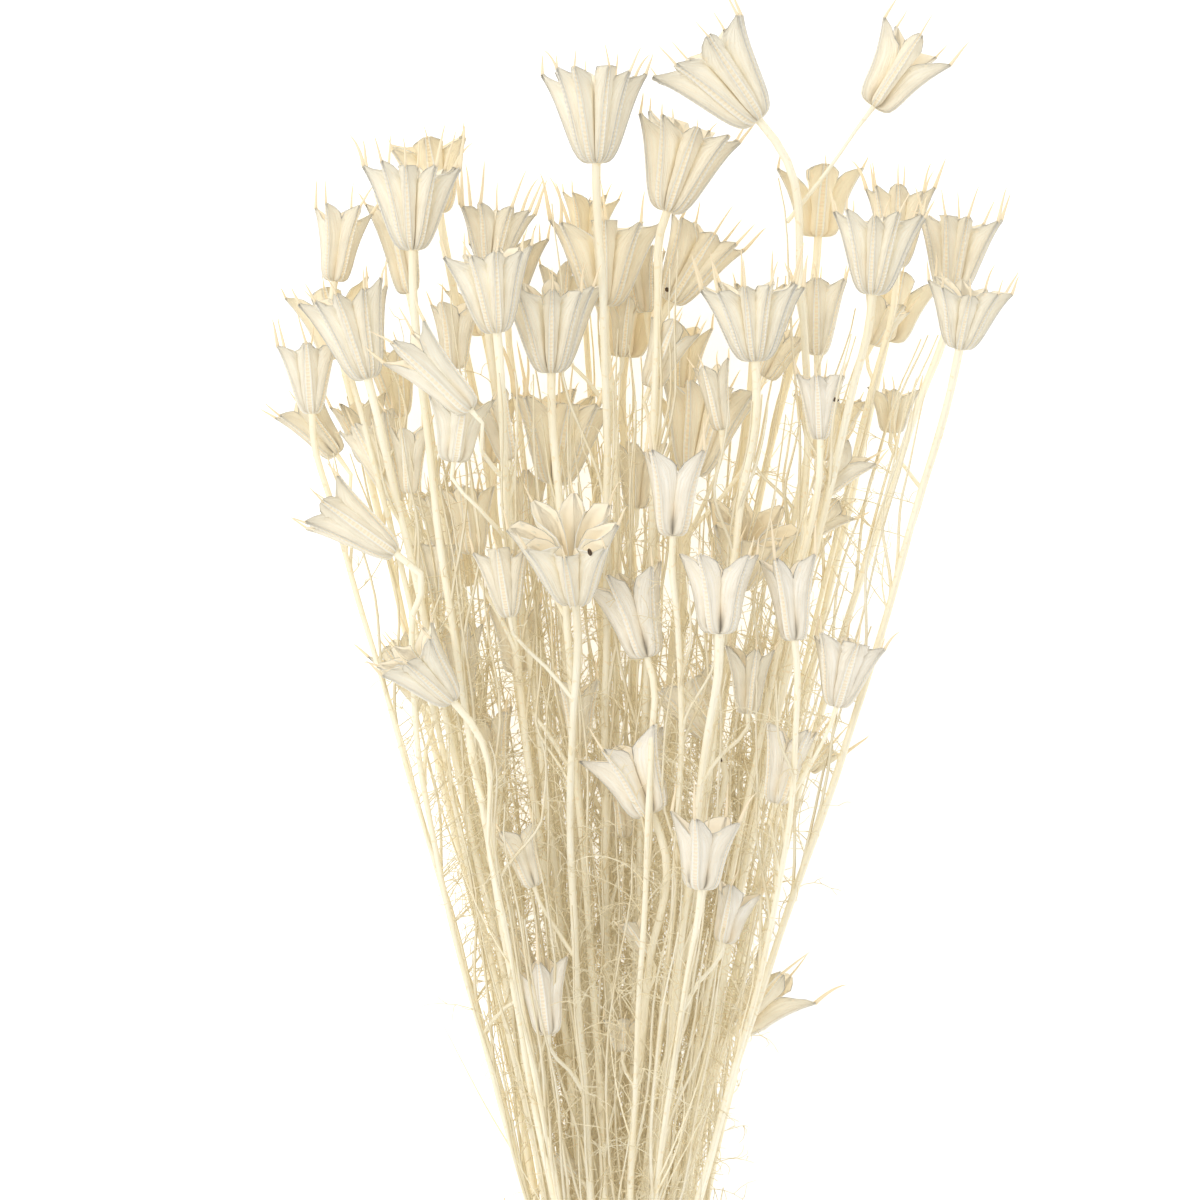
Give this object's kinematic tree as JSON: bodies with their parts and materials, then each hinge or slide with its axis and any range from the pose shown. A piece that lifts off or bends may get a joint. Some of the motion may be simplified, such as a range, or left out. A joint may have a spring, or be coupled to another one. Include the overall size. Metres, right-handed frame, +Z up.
{
  "type": "dried seed pod bunch",
  "caption": "Tied bunch of dried nigella stems with star-shaped, horned seed pods and thread leaves, laid on its side.",
  "frame": {"origin": "on the surface, under the middle of the tie", "axes": "+Y along the stems from the cut ends to the pods, +X to the right seen from above, +Z up"},
  "size_m": [0.2276, 0.4877, 0.1158],
  "materials": {
    "dried_plant": "matt bleached straw",
    "twine": "matt natural twine"
  },
  "bodies": {
    "root": {"stem_01": "dried_plant", "stem_02": "dried_plant", "stem_03": "dried_plant", "stem_04": "dried_plant", "stem_05": "dried_plant", "stem_06": "dried_plant", "stem_07": "dried_plant", "stem_08": "dried_plant", "stem_09": "dried_plant", "stem_10": "dried_plant", "stem_11": "dried_plant", "stem_12": "dried_plant", "stem_13": "dried_plant", "stem_14": "dried_plant", "stem_15": "dried_plant", "stem_16": "dried_plant", "stem_17": "dried_plant", "stem_18": "dried_plant", "stem_19": "dried_plant", "stem_20": "dried_plant", "stem_21": "dried_plant", "stem_22": "dried_plant", "stem_23": "dried_plant", "stem_24": "dried_plant", "stem_25": "dried_plant", "stem_26": "dried_plant", "stem_27": "dried_plant", "stem_28": "dried_plant", "stem_29": "dried_plant", "stem_30": "dried_plant", "stem_31": "dried_plant", "stem_32": "dried_plant", "stem_33": "dried_plant", "stem_34": "dried_plant", "stem_35": "dried_plant", "stem_36": "dried_plant", "stem_37": "dried_plant", "stem_38": "dried_plant", "stem_39": "dried_plant", "stem_40": "dried_plant", "stem_41": "dried_plant", "stem_42": "dried_plant", "stem_43": "dried_plant", "stem_44": "dried_plant", "stem_45": "dried_plant", "stem_46": "dried_plant", "stem_47": "dried_plant", "stem_48": "dried_plant", "stem_49": "dried_plant", "stem_50": "dried_plant", "stem_51": "dried_plant", "stem_52": "dried_plant", "tie": "twine"}
  },
  "joints": []
}
